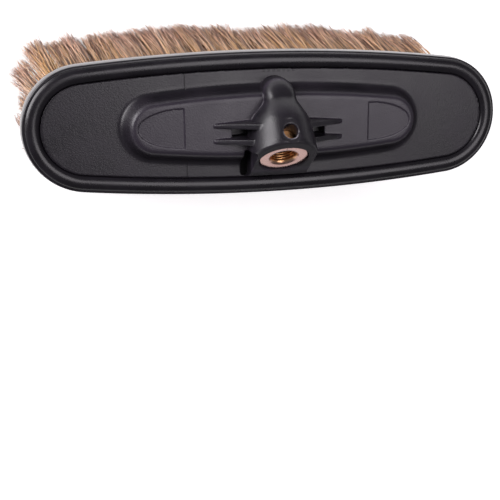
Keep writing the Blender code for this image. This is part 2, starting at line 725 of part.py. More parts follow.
def main():
    for old in list(bpy.data.objects):
        bpy.data.objects.remove(old)
    bpy.context.scene.collection.children.link(parts)
    bpy.context.scene.collection.children.link(cutters)
    plastic = principled("black_polypropylene", (0.045, 0.042, 0.047), 0.45)
    make_back_shell(plastic)
    make_inlet_insert(principled("brass", (0.72, 0.45, 0.30), 0.28, 1.0))
    make_bumper_ring(principled("black_rubber", (0.030, 0.028, 0.032), 0.35))
    make_bristle_board(principled("grey_polypropylene", (0.075, 0.070, 0.078), 0.50))
    make_chamber_gasket(principled("seal_rubber", (0.012, 0.012, 0.012), 0.60))
    make_board_screws(principled("stainless_steel", (0.60, 0.60, 0.60), 0.30, 1.0))
    bristle = principled("natural_bristle", (0.32, 0.19, 0.11), 0.60)
    strands = make_bristle_ring("bristle_ring_outer", HEAD, OUTER_RING_INSET, bristle)
    strands += make_bristle_ring("bristle_ring_middle", HEAD, MIDDLE_RING_INSET, bristle)
    strands += make_bristle_ring("bristle_ring_inner", CORE, 0.0, bristle)
    print("strands:", strands)
    cutters.hide_render = True


main()
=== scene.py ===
import math
from functools import partial

import bmesh
import bpy
import numpy as np
from mathutils import Matrix, Vector


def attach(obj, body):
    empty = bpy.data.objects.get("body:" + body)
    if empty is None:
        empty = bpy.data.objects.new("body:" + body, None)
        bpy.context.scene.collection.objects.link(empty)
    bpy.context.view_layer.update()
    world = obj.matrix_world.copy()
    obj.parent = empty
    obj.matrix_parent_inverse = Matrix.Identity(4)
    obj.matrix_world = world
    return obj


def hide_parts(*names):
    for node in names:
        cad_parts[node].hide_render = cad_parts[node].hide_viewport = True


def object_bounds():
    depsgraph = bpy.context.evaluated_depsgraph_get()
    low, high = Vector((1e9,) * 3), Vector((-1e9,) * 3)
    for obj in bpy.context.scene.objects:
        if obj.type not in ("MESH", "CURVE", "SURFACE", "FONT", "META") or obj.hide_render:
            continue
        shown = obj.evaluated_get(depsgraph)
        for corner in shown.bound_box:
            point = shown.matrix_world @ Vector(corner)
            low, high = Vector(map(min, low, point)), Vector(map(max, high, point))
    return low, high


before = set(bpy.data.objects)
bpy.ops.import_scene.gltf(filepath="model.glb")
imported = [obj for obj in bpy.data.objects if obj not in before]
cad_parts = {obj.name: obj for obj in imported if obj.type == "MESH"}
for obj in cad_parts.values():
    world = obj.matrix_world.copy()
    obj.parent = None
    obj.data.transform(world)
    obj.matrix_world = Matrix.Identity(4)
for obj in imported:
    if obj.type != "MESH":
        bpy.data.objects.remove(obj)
cad_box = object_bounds()
root = "root"

# Sizes of the head in metres, as in its solids. An oval is half length, half width, end radius
HEAD = (0.125, 0.036, 0.031)
CHANNEL = (0.081, 0.023, 0.0195)
CORE = (0.093, 0.0056, 0.005)
RIM_BOTTOM, RIM_TOP = 0.083, 0.100
BOARD_FACE, BOARD_LEDGE, BOARD_TOP = 0.0835, 0.0853, 0.0910
BODY_INSET, FLANGE_INSET = 0.0089, 0.0035
FLOOR, CHANNEL_TOP = 0.1005, 0.1097
OUTER_INSET, SCREW_INSET, MIDDLE_INSET = 0.0117, 0.01665, 0.0216
TUFT_ROWS = ((HEAD, OUTER_INSET, 60), (HEAD, MIDDLE_INSET, 50), (CORE, 0.0, 36))
SCREWS = 10
INLET_MOUTH = Vector((0.0, -0.0163, 0.119))
INLET_TILT = math.radians(55.8)

# Sizes of the moulded shapes on the back, along X and Y where there are two
SHOULDER_RUN, SHOULDER_BEND = 0.0115, 1.85
PANEL_START, PANEL_REACH, PANEL_HALF, PANEL_SUNK = 0.0479, 0.0224, 0.0095, 0.00035
HOUSING_RADIUS, HOUSING_TAPER, HOUSING_LENGTH = 0.0170, 0.0009, 0.0150
HOUSING_STRAIGHT, HOUSING_END, HOUSING_FRONT = 0.0090, 0.0196, -0.0262
DUCT_END, DUCT_RADIUS, DUCT_RISE, DUCT_FALL = 0.0156, 0.0078, 0.0170, 0.66
GUSSET_PLACES, GUSSET_START, GUSSET_END = (0.0007, -0.0070), 0.0128, 0.0330
GUSSET_RISE, GUSSET_FALL = 0.0128, 0.0121
POCKET_MIDDLE, POCKET_HALF, POCKET_DEEP = (0.0186, -0.00315), (0.0055, 0.0030), 0.0080
SLOT_MIDDLE, SLOT_HALF, SLOT_ROUND, SLOT_DEEP = (-0.0160, -0.0190), (0.0001, 0.0054), 0.0018, 0.0020
HOLE_DEPTH, HOLE_RADIUS, SEAT_RADIUS, SEAT_HEIGHT = 0.0062, 0.0036, 0.0058, 0.0189
SOCKET_RADIUS, SOCKET_DEPTH = 0.0126, 0.0169


# Node trees

def hex_colour(text):
    """A linear colour from an sRGB hex value."""
    shares = [int(text[i:i + 2], 16) / 255 for i in (1, 3, 5)]
    return [s / 12.92 if s <= 0.04045 else ((s + 0.055) / 1.055) ** 2.4 for s in shares] + [1.0]


def feed(tree, node, **links):
    """Sets inputs; a link's name is an input's name with _ for a space, or i and its number."""
    for key, value in links.items():
        place = int(key[1:]) if key[0] == "i" and key[1:].isdigit() else key.replace("_", " ")
        if isinstance(value, bpy.types.NodeSocket):
            tree.links.new(value, node.inputs[place])
        else:
            node.inputs[place].default_value = value
    return node


def add(tree, kind, settings=None, **links):
    """Adds a node with its settings and inputs."""
    node = tree.nodes.new(kind)
    for key, value in (settings or {}).items():
        setattr(node, key, value)
    return feed(tree, node, **links)


def feeding(node, name):
    """What already feeds an input."""
    return node.inputs[name].links[0].from_socket


def maths_node(tree, operation, *values):
    """The result of a maths node."""
    links = {f"i{i}": value for i, value in enumerate(values)}
    return add(tree, "ShaderNodeMath", {"operation": operation}, **links).outputs[0]


def vector_node(tree, operation, *values):
    """The result of a vector maths node: a vector, or a number for a distance."""
    links = {f"i{i}": value for i, value in enumerate(values)}
    node = add(tree, "ShaderNodeVectorMath", {"operation": operation}, **links)
    return node.outputs[1 if operation == "DISTANCE" else 0]


def mapped(tree, value, low, high, start=0.0, end=1.0):
    """Goes from start to end as a value goes from low to high, and stays there beyond."""
    return add(tree, "ShaderNodeMapRange", i0=value, i1=low, i2=high, i3=start, i4=end).outputs[0]


def mixed_value(tree, share, one, other):
    """Goes from one number to another with share."""
    return add(tree, "ShaderNodeMix", i0=share, i2=one, i3=other).outputs[0]


def mixed_colour(tree, share, one, other):
    """Goes from one colour to another with share."""
    kind = {"data_type": "RGBA"}
    return add(tree, "ShaderNodeMix", kind, i0=share, i6=one, i7=other).outputs[2]


def object_place(tree):
    """The place on the object, in metres."""
    return add(tree, "ShaderNodeTexCoord").outputs["Object"]


def split_place(tree, place):
    """The X, Y and Z of a place."""
    return add(tree, "ShaderNodeSeparateXYZ", Vector=place).outputs


def about_mouth(tree, place):
    """A place seen from the inlet's mouth: Z points out of it."""
    return add(tree, "ShaderNodeMapping", {"vector_type": "TEXTURE"}, Vector=place,
               Location=INLET_MOUTH, Rotation=(INLET_TILT, 0.0, 0.0)).outputs[0]


def noise(tree, place, size, **settings):
    """Noise with patches of about a size in metres."""
    return add(tree, "ShaderNodeTexNoise", Vector=place, Scale=1 / size, **settings).outputs["Fac"]


def new_tree(name, inputs):
    """A geometry tree with inputs from (name, kind, value), and what it is given: (tree, given)."""
    tree = bpy.data.node_groups.new(name, "GeometryNodeTree")
    ends = ("Geometry", "Geometry", None), ("Material", "Material", None)
    for label, kind, value in (ends[0], *inputs, ends[1]):
        socket = tree.interface.new_socket(label, in_out="INPUT", socket_type="NodeSocket" + kind)
        if value is not None:
            socket.default_value = value
    tree.interface.new_socket("Geometry", in_out="OUTPUT", socket_type="NodeSocketGeometry")
    return tree, add(tree, "NodeGroupInput").outputs


def finished_tree(tree, given, geometry):
    """A tree that gives out the geometry in the material it is given."""
    dressed = add(tree, "GeometryNodeSetMaterial", Geometry=geometry, Material=given["Material"])
    add(tree, "NodeGroupOutput", i0=dressed.outputs[0])
    return tree


def set_bump(tree, shader, height, strength, deep, **links):
    """Sets a shader's bump from a height that is drawn as deep as given."""
    bump = add(tree, "ShaderNodeBump", Strength=strength, Distance=deep, Height=height, **links)
    feed(tree, shader, Normal=bump.outputs["Normal"])


def new_material(name):
    """A material with an empty Principled shader: (material, tree, shader)."""
    material = bpy.data.materials.new(name)
    material.use_nodes = True
    tree = material.node_tree
    return material, tree, tree.nodes["Principled BSDF"]


def ramp(tree, factor, stops):
    """A colour ramp through (place, hex) stops."""
    node = add(tree, "ShaderNodeValToRGB", Fac=factor)
    bar = node.color_ramp.elements
    while len(bar) < len(stops):
        bar.new(0.5)
    for element, (place, text) in zip(bar, stops):
        element.position = place
        element.color = hex_colour(text)
    return node.outputs["Color"]


# Materials

def moulded(name, colours, roughness, grain):
    """Plastic or rubber from a spark-eroded tool: grain softens the gloss, dust leaves it cloudy.

    The real grain is about 0.1 mm and wouldn't show, so it is drawn at 0.7 mm.
    """
    material, tree, shader = new_material(name)
    place = object_place(tree)
    cloud = noise(tree, place, 0.014, Detail=7.0, Roughness=0.62)
    colour = ramp(tree, cloud, [(0.3, colours[0]), (0.7, colours[1])])
    gloss = mapped(tree, cloud, 0.3, 0.7, roughness - 0.05, roughness + 0.05)
    feed(tree, shader, Base_Color=colour, Roughness=gloss, IOR=1.49, Specular_IOR_Level=0.43)
    set_bump(tree, shader, noise(tree, place, 0.0007, Detail=2.0), grain, 0.0001)
    return material


def band(tree, value, middle, half, soft):
    """1 where a value is within half of a middle, falling to 0 over soft."""
    away = maths_node(tree, "ABSOLUTE", maths_node(tree, "SUBTRACT", value, middle))
    return mapped(tree, away, half, half + soft, 1.0, 0.0)


def product(tree, *values):
    """Values multiplied together, such as masks that all have to hold."""
    result = values[0]
    for value in values[1:]:
        result = maths_node(tree, "MULTIPLY", result, value)
    return result


def back_plastic():
    """The shell's black polypropylene: a matt mouth face, painted sheen that makes the channel top
    paler, and tool marks.

    The marks are the joint of a tool insert across the floor, a round ejector pin at each end and a
    row of notches behind the duct. The side hole's rim is worn pale in patches. The slot's bottom
    and all else below the floor is dull and painted near-black as painted shade, so the slot looks
    deeper than it is.
    """
    material = moulded("moulded_polypropylene_black", ("#17151A", "#242027"), 0.36, 0.70)
    tree, shader = material.node_tree, material.node_tree.nodes["Principled BSDF"]
    place = object_place(tree)
    x, y, z = split_place(tree, place)
    across, _, height = split_place(tree, about_mouth(tree, place))
    # painted shade: the shell below the floor, the slot's bottom too, is painted near-black
    painted_shade_below_floor = band(tree, z, 0.0970, 0.0027, 0.0003)

    matt = band(tree, height, 0.0, 0.0002, 0.0004)
    rough = mixed_value(tree, matt, feeding(shader, "Roughness"), 0.80)
    feed(tree, shader, Roughness=mixed_value(tree, painted_shade_below_floor, rough, 0.95))

    joint_at, pin_at, pin_radius, notch_gap = -0.0455, (0.0945, -0.001, 0.0), 0.0042, 0.0026
    floor = band(tree, z, FLOOR, 0.0004, 0.0002)
    joint = product(tree, band(tree, x, joint_at, 0.00008, 0.00020), floor)
    either_end = maths_node(tree, "ABSOLUTE", x)
    spot = add(tree, "ShaderNodeCombineXYZ", X=either_end, Y=y).outputs[0]
    spot = vector_node(tree, "DISTANCE", spot, pin_at)
    pin = product(tree, band(tree, spot, pin_radius, 0.0002, 0.0014), floor)
    every = maths_node(tree, "PINGPONG", x, notch_gap / 2)
    notches = product(tree, band(tree, every, 0.0, 0.0003, 0.0002), floor,
                      band(tree, x, 0.0034, 0.0088, 0.0003), band(tree, y, 0.0263, 0.0005, 0.0002))
    marks = maths_node(tree, "ADD", joint, product(tree, pin, 0.12))
    marks = maths_node(tree, "ADD", marks, notches)

    flat = add(tree, "ShaderNodeCombineXYZ", X=across, Y=height).outputs[0]
    rim = vector_node(tree, "DISTANCE", flat, (0.0, -HOLE_DEPTH, 0.0))
    front = mapped(tree, height, -0.0072, -0.0040)
    patchy = mapped(tree, noise(tree, place, 0.0015), 0.35, 0.60)
    worn = product(tree, band(tree, rim, 0.0038, 0.0002, 0.0004), front, patchy,
                   band(tree, z, 0.1280, 0.0060, 0.001))

    # painted sheen: the channel top is painted paler for the light it catches
    painted_top_sheen = band(tree, z, CHANNEL_TOP, 0.0003, 0.0025)
    colour = feeding(shader, "Base Color")
    for mask, laid_on in ((painted_top_sheen, "#2F2A33"), (product(tree, marks, 0.7), "#0C0B0D"),
                          (product(tree, worn, 0.7), "#9A969C"), (painted_shade_below_floor, "#050405")):
        colour = mixed_colour(tree, mask, colour, hex_colour(laid_on))
    feed(tree, shader, Base_Color=colour)
    set_bump(tree, shader, marks, 0.5, -0.0002, Normal=feeding(shader, "Normal"))
    return material


def bumper_rubber():
    """EPDM rubber: the outer wall is smooth and mirrors the room, the beads are satin."""
    material = moulded("moulded_epdm_rubber", ("#141216", "#1D1A20"), 0.28, 0.15)
    tree, shader = material.node_tree, material.node_tree.nodes["Principled BSDF"]
    height = split_place(tree, object_place(tree))["Z"]
    wall = band(tree, height, (RIM_BOTTOM + RIM_TOP) / 2, 0.0076, 0.0006)
    feed(tree, shader, Roughness=mixed_value(tree, wall, feeding(shader, "Roughness"), 0.16))
    return material


def turned_brass():
    """Turned brass: the facing tool leaves fine rings about the bore, which stretch its highlights.

    The face is pinkish and has a short dark line across it. The bore is duller, and its gold is
    partly the brass and partly painted reflection, lighter for the light its walls throw on one
    another. A facing feed is about 0.1 mm a turn, drawn here at 0.5 mm so that it shows.
    """
    material, tree, shader = new_material("turned_brass")
    place = object_place(tree)
    about = about_mouth(tree, place)
    rings = add(tree, "ShaderNodeTexWave", {"wave_type": "RINGS", "rings_direction": "Z"},
                Vector=about, Scale=1 / (0.0005 * 20), Distortion=0.6, Detail=2.0,
                Detail_Scale=2.0).outputs["Fac"]
    cloud = noise(tree, place, 0.003, Detail=3.0)
    across, up, height = split_place(tree, about)
    inside = mapped(tree, height, -0.0013, -0.0024)
    # a short dark line across the face, above the bore
    dark_face_line = product(tree, band(tree, across, -0.0006, 0.0001, 0.0002),
                   band(tree, up, 0.0100, 0.0016, 0.0003), 0.8)
    face = ramp(tree, cloud, [(0.25, "#AA877E"), (0.75, "#C09D95")])
    face = mixed_colour(tree, dark_face_line, face, hex_colour("#3A2418"))
    # painted reflection: the bore's gold is partly brass, partly painted light from its own walls
    bore = ramp(tree, cloud, [(0.25, "#BC8858"), (0.75, "#E2B488")])
    gloss = mixed_value(tree, inside, mapped(tree, cloud, 0.3, 0.7, 0.20, 0.30), 0.34)
    colour = mixed_colour(tree, inside, face, bore)
    feed(tree, shader, Base_Color=colour, Roughness=gloss, Metallic=1.0)
    set_bump(tree, shader, rings, 0.25, 0.0001)
    return material


def rolled_steel():
    """Stainless steel: bright where the die formed it, duller and finely scratched by the driver.

    The scratches are a few hundredths of a millimetre wide, drawn at 0.25 mm so that they show.
    """
    material, tree, shader = new_material("rolled_stainless_steel")
    place = object_place(tree)
    wear = noise(tree, place, 0.0012, Detail=4.0)
    colour = ramp(tree, wear, [(0.3, "#8E8C88"), (0.7, "#C6C4C0")])
    gloss = mapped(tree, wear, 0.3, 0.7, 0.42, 0.22)
    feed(tree, shader, Base_Color=colour, Roughness=gloss, Metallic=1.0)
    set_bump(tree, shader, noise(tree, place, 0.00025, Detail=2.0), 0.2, 0.00005)
    return material


def natural_bristle():
    """Boar bristle: golden and glossy at the root, tan along its length, paler at its split end.

    Hairs differ in tone one from the next, and each tuft as a whole differs a little too.
    """
    material, tree, shader = new_material("natural_boar_bristle")
    along, tone, gold = (add(tree, "ShaderNodeAttribute", {"attribute_name": name}).outputs["Fac"]
                         for name in ("along", "tone", "gold"))
    pink = ramp(tree, along, [(0.0, "#B8904E"), (0.2, "#E8BE86"), (0.55, "#FAD2B0"),
                              (0.90, "#F4C6AE"), (1.0, "#FFE4D6")])
    yellow = ramp(tree, along, [(0.0, "#A07630"), (0.2, "#D6A654"), (0.7, "#E4B678"),
                                (1.0, "#E8C8A4")])
    dark = ramp(tree, along, [(0.0, "#34241A"), (0.3, "#5C402C"), (0.7, "#7A5240"),
                              (0.92, "#80584A"), (1.0, "#B08C7C")])
    colour = mixed_colour(tree, tone, dark, mixed_colour(tree, gold, pink, yellow))
    feed(tree, shader, Base_Color=colour, Roughness=0.40, IOR=1.55)
    return material


# Ovals of four arcs

def oval_sizes(oval, inset=0.0):
    """The end arcs' radius and reach along X, and the side arcs' radius and drop along Y."""
    half_length, half_width, end_radius = (size - inset for size in oval)
    reach = half_length - end_radius
    side = (reach ** 2 + half_width ** 2 - end_radius ** 2) / (2 * (half_width - end_radius))
    return end_radius, reach, side, side - half_width


def oval_arcs(oval, inset):
    """The five arcs of an oval drawn in by inset, from the +X end: centre, radius, start, sweep."""
    end_radius, reach, side, drop = oval_sizes(oval, inset)
    turn = math.atan2(drop, reach)
    return [((reach, 0.0), end_radius, 0.0, turn),
            ((0.0, -drop), side, turn, math.pi - 2 * turn),
            ((-reach, 0.0), end_radius, math.pi - turn, 2 * turn),
            ((0.0, drop), side, math.pi + turn, math.pi - 2 * turn),
            ((reach, 0.0), end_radius, -turn, turn)]


def oval_stations(oval, inset, count, shift=0.5):
    """Points and outward directions at even steps along an oval."""
    arcs = oval_arcs(oval, inset)
    total = sum(radius * sweep for _, radius, _, sweep in arcs)
    stations = []
    for number in range(count):
        left = (number + shift) / count * total
        for (x, y), radius, start, sweep in arcs:
            if left <= radius * sweep:
                break
            left -= radius * sweep
        angle = start + left / radius
        outward = Vector((math.cos(angle), math.sin(angle), 0.0))
        stations.append((Vector((x, y, 0.0)) + outward * radius, outward))
    return stations


def oval_loop(oval, inset, steps=(26, 56, 52, 56, 26)):
    """Points of an oval in order, with the same count at every inset."""
    points = []
    for ((x, y), radius, start, sweep), count in zip(oval_arcs(oval, inset), steps):
        for step in range(count):
            angle = start + sweep * step / count
            points.append((x + radius * math.cos(angle), y + radius * math.sin(angle)))
    return points


# Mesh pieces

def new_object(name, data):
    """A new object in the scene."""
    thing = bpy.data.objects.new(name, data)
    bpy.context.scene.collection.objects.link(thing)
    return thing


def finished_mesh(thing):
    """The plain mesh of an object after its modifiers; the object goes."""
    bpy.context.view_layer.update()
    done = thing.evaluated_get(bpy.context.evaluated_depsgraph_get())
    mesh = bpy.data.meshes.new_from_object(done)
    bpy.data.objects.remove(thing)
    return mesh


def settle(name, mesh, material, nodes):
    """Puts a finished mesh in the scene as a piece that stands for its CAD nodes."""
    piece = new_object(name, mesh)
    mesh.materials.clear()
    mesh.materials.append(material)
    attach(piece, root)
    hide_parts(*nodes)
    return piece


def skin(bm, loops, closed):
    """A skin over loops with the same count of points, capped at both ends, or closed on itself."""
    rings = [[bm.verts.new(point) for point in loop] for loop in loops]
    pairs = list(zip(rings, rings[1:]))
    if closed:
        pairs.append((rings[-1], rings[0]))
    else:
        bm.faces.new(rings[0])
        bm.faces.new(rings[-1])
    for lower, upper in pairs:
        for i in range(len(lower)):
            j = (i + 1) % len(lower)
            bm.faces.new((lower[i], lower[j], upper[j], upper[i]))


def mesh_of(name, bm, smooth_angle):
    """The mesh of a bmesh, faces outward, smooth up to an angle."""
    bmesh.ops.recalc_face_normals(bm, faces=bm.faces)
    mesh = bpy.data.meshes.new(name)
    bm.to_mesh(mesh)
    bm.free()
    mesh.shade_smooth()
    mesh.set_sharp_from_angle(angle=math.radians(smooth_angle))
    return mesh


def loft(bm, sections, closed=False):
    """A skin over ovals given as (oval, inset, z)."""
    loops = [[(x, y, z) for x, y in oval_loop(oval, inset)] for oval, inset, z in sections]
    skin(bm, loops, closed)


def turned(bm, profile, steps, matrix):
    """A turned skin about the matrix's +Z from (radius, height) points."""
    loops = []
    for radius, height in profile:
        turns = [2 * math.pi * step / steps for step in range(steps)]
        loops.append([matrix @ Vector((radius * math.cos(turn), radius * math.sin(turn), height))
                      for turn in turns])
    skin(bm, loops, False)


# Back shell, as distances to its moulded surface, negative inside. A factor below 1 on a sloping
# top turns its height into a distance; the last value of common and union is the edge's radius

def union(a, b, radius):
    """Two shapes joined with a fillet."""
    both = np.hypot(np.maximum(radius - a, 0), np.maximum(radius - b, 0))
    return np.maximum(radius, np.minimum(a, b)) - both


def common(a, b, radius):
    """What two shapes share, with a rounded edge."""
    both = np.hypot(np.maximum(radius + a, 0), np.maximum(radius + b, 0))
    return np.minimum(-radius, np.maximum(a, b)) + both


def oval_distance(x, y, oval):
    """How far outside an oval a place is."""
    end_radius, reach, side, drop = oval_sizes(oval)
    x, y = abs(x), abs(y)
    at_end = reach * (y + drop) < drop * x
    return np.where(at_end, np.hypot(x - reach, y) - end_radius, np.hypot(x, y + drop) - side)


def plate(x, y, z):
    """The floor inside the rim, the water channel's smooth shoulders and two sunk bare panels."""
    edge = oval_distance(x, y, HEAD) + BODY_INSET
    run = np.clip(-oval_distance(x, y, CHANNEL) / SHOULDER_RUN, 0.001, 0.999)
    low, high = run ** SHOULDER_BEND, (1 - run) ** SHOULDER_BEND
    turn = np.pi * low / (low + high)
    rise = (CHANNEL_TOP - FLOOR) * (1 - np.cos(turn)) / 2
    faster = SHOULDER_BEND * (run * (1 - run)) ** (SHOULDER_BEND - 1) / (low + high) ** 2
    slope = (CHANNEL_TOP - FLOOR) / SHOULDER_RUN * np.pi / 2 * np.sin(turn) * faster
    top = (z - FLOOR - rise) / np.sqrt(1 + slope ** 2)
    bow = np.sqrt(((abs(x) - PANEL_START) / PANEL_REACH) ** 2 + (y / PANEL_HALF) ** 2) - 1
    panel = np.maximum(bow * PANEL_HALF, PANEL_START - abs(x))
    sunk = np.maximum(panel, CHANNEL_TOP - PANEL_SUNK - z)
    return common(np.maximum(top, -sunk), edge, 0.0005)


def inlet_place(x, y, z):
    """Across, up and depth behind the inlet's mouth."""
    sine, cosine = math.sin(INLET_TILT), math.cos(INLET_TILT)
    y = y - INLET_MOUTH.y
    z = z - INLET_MOUTH.z
    return x, y * cosine + z * sine, y * sine - z * cosine


def housing(across, up, depth):
    """The inlet's housing: a round top on straight walls, a flat mouth and a round far end.

    It is a little taller than round, more so away from the mouth.
    """
    back = np.clip(depth / HOUSING_LENGTH, 0, 1)
    radius = HOUSING_RADIUS - HOUSING_TAPER * back
    taller = (0.0016 + 0.0026 * back) / 0.0161
    height = radius * (1 + taller)
    far = (np.maximum(depth - HOUSING_STRAIGHT, 0) / HOUSING_END) ** 1.6
    up = np.maximum(up, 0)
    reach = np.sqrt((across / radius) ** 2 + (up / height) ** 2 + far ** 2) + 1e-9
    pull = np.sqrt((across / radius ** 2) ** 2 + (up / height ** 2) ** 2 + (far / HOUSING_END) ** 2)
    edge = 0.0011 + 0.0012 * np.clip(abs(across) / radius, 0, 1) ** 4
    return common((reach - 1) / (pull / reach + 1e-9), -depth, edge)


def duct(x, y, z):
    """The round-ended duct, whose ridge falls away from the housing."""
    ridge = (z - FLOOR - DUCT_RISE + DUCT_FALL * (y - DUCT_END)) * 0.835
    wall = np.hypot(x, np.maximum(y - DUCT_END, 0)) - DUCT_RADIUS
    return np.maximum(common(wall, ridge, 0.0052), -0.002 - y)


def gusset(x, y, z, place):
    """A rib on each side of the housing, which falls and thins away from it."""
    inward = (abs(x) - GUSSET_START) / (GUSSET_END - GUSSET_START)
    top = z - CHANNEL_TOP - GUSSET_RISE + GUSSET_FALL * inward
    narrower = 1 - 0.40 * np.clip((z - CHANNEL_TOP) / GUSSET_RISE, 0, 1)
    sides = abs(y - place) - (0.0023 - 0.0015 * inward) * narrower
    return common(common(sides, top * 0.86, 0.00035), abs(x) - GUSSET_END, 0.0005)


def bores(across, up, depth):
    """The side hole's flat seat, round towards the mouth, the hole and the insert's socket."""
    back = depth - HOLE_DEPTH
    seat = np.where(back < 0, np.hypot(across, back), abs(across)) - SEAT_RADIUS
    seat = np.maximum(np.maximum(seat, back - HOLE_DEPTH), SEAT_HEIGHT + 0.15 * back - up)
    hole = np.maximum(np.hypot(across, back) - HOLE_RADIUS, -up)
    socket = np.maximum(np.hypot(across, up) - SOCKET_RADIUS, depth - SOCKET_DEPTH)
    return ((seat, 0.00025), (hole, 0.0004), (socket, 0.0004))


def moulding(x, y, z):
    """The whole shell above its skirt."""
    solid = plate(x, y, z)
    if not np.any((abs(x) < 0.036) & (z > FLOOR - 0.004)):
        return solid
    across, up, depth = inlet_place(x, y, z)
    pocket = np.maximum(abs(y - POCKET_MIDDLE[1]) - POCKET_HALF[1],
                        abs(abs(x) - POCKET_MIDDLE[0]) - POCKET_HALF[0])
    solid = common(solid, -np.maximum(pocket, CHANNEL_TOP - POCKET_DEEP - z), 0.0002)
    shape = common(housing(across, up, depth), HOUSING_FRONT - y, 0.0008)
    shape = union(shape, duct(x, y, z), 0.0036)
    solid = union(solid, shape, 0.0006)
    slot = np.hypot(np.maximum(abs(x - SLOT_MIDDLE[0]) - SLOT_HALF[0], 0),
                    np.maximum(abs(y - SLOT_MIDDLE[1]) - SLOT_HALF[1], 0)) - SLOT_ROUND
    solid = common(solid, -np.maximum(slot, FLOOR - SLOT_DEEP - z), 0.0003)
    for place in GUSSET_PLACES:
        solid = union(solid, gusset(x, y, z, place), 0.0005)
    for hollow, edge in bores(across, up, depth):
        solid = common(solid, -hollow, edge)
    return solid


def steps_between(marks):
    """Grid lines through (end, step) marks, mirrored about zero."""
    lines = [0.0]
    for end, step in marks:
        count = max(1, round((end - lines[-1]) / step))
        lines += list(np.linspace(lines[-1], end, count + 1)[1:])
    return np.array([-value for value in lines[:0:-1]] + lines)


def net_over(shape, xs, ys, zs):
    """Points and quads of a net over a shape's zero surface, one point in each cell it crosses."""
    layers = [shape(xs[:, None], ys[None, :], z) + np.zeros((len(xs), len(ys))) for z in zs]
    values = np.stack(layers, 2)
    inside = values < 0
    counts = sum(inside[i:len(xs) - 1 + i, j:len(ys) - 1 + j, k:len(zs) - 1 + k].astype(int)
                 for i in (0, 1) for j in (0, 1) for k in (0, 1))
    cells = np.argwhere((counts > 0) & (counts < 8))
    number = np.full(counts.shape, -1)
    number[tuple(cells.T)] = np.arange(len(cells))
    total = np.zeros((len(cells), 3))
    crossings = np.zeros(len(cells))
    for axis in range(3):
        for first, second in ((0, 0), (0, 1), (1, 0), (1, 1)):
            low = cells + np.roll((0, first, second), axis)
            high = cells + np.roll((1, first, second), axis)
            a, b = values[tuple(low.T)], values[tuple(high.T)]
            cut = (a < 0) != (b < 0)
            share = np.where(cut, a / np.where(cut, a - b, 1), 0)
            near, far = (np.stack([lines[corner[:, n]] for n, lines in enumerate((xs, ys, zs))], 1)
                         for corner in (low, high))
            total += np.where(cut[:, None], near + (far - near) * share[:, None], 0)
            crossings += cut
    quads = []
    for axis in range(3):
        edges = np.argwhere(np.diff(inside, axis=axis))
        for side in ((axis + 1) % 3, (axis + 2) % 3):
            edges = edges[(edges[:, side] > 0) & (edges[:, side] < counts.shape[side])]
        around = np.stack([number[tuple((edges - np.roll((0, first, second), axis)).T)]
                           for first, second in ((1, 1), (0, 1), (0, 0), (1, 0))], 1)
        turned_in = ~inside[tuple(edges.T)]
        around[turned_in] = around[turned_in][:, ::-1]
        quads.append(around)
    return total / crossings[:, None], np.concatenate(quads)


def drawn_on(shape, points, rounds=4, step=2e-5, reach=0.00025):
    """Points moved on to the zero surface along its slope."""
    for _ in range(rounds):
        x, y, z = points.T
        value = shape(x, y, z)
        slope = np.stack([shape(x + step, y, z) - shape(x - step, y, z),
                          shape(x, y + step, z) - shape(x, y - step, z),
                          shape(x, y, z + step) - shape(x, y, z - step)], 1) / (2 * step)
        move = slope * (value / np.maximum((slope ** 2).sum(1), 0.2))[:, None]
        length = np.linalg.norm(move, axis=1, keepdims=True)
        points = points - move * np.minimum(1, reach / np.maximum(length, 1e-12))
    return points


def make_back_shell(material):
    """The moulding above, with the skirt and the water chamber's walls below it."""
    fine, coarse, deep = 0.00042, 0.00090, 0.0008
    xs = steps_between([(0.0730, fine), (0.1166, coarse)])
    ys = steps_between([(0.0280, fine)])
    zs = np.concatenate([np.arange(0.0970, FLOOR - 0.001, deep),
                         np.arange(FLOOR - deep, 0.1350, fine)])
    points, quads = net_over(moulding, xs, ys, zs)
    lowest = points[:, 2] < zs[1]
    moved = drawn_on(moulding, points)
    moved[lowest, 2] = points[lowest, 2]
    bm = bmesh.new()
    verts = [bm.verts.new(point) for point in moved]
    for quad in quads:
        bm.faces.new([verts[i] for i in quad])
    bmesh.ops.holes_fill(bm, edges=[edge for edge in bm.edges if edge.is_boundary], sides=0)
    bottom, step, top, roof = 0.0913, 0.0945, 0.0977, 0.0980
    inner = BODY_INSET + 0.001
    skirt = [(FLANGE_INSET, bottom), (FLANGE_INSET, top), (inner, top), (inner, step),
             (0.0070, step), (0.0070, bottom)]
    loft(bm, [(HEAD, inset, z) for inset, z in skirt], closed=True)
    wall = [(0.0065, bottom), (0.0065, roof), (0.0115, roof), (0.0115, bottom)]
    loft(bm, [(CHANNEL, inset, z) for inset, z in wall], closed=True)
    mesh = mesh_of("moulded_back", bm, 50)
    return settle("moulded_back", mesh, material, ["back_shell"])


# Bumper ring

def arc(middle, radii, start, end, steps):
    """Points of an arc or ellipse in section, in degrees."""
    turns = [math.radians(start + (end - start) * step / steps) for step in range(steps + 1)]
    return [(middle[0] + radii[0] * math.cos(a), middle[1] + radii[1] * math.sin(a)) for a in turns]


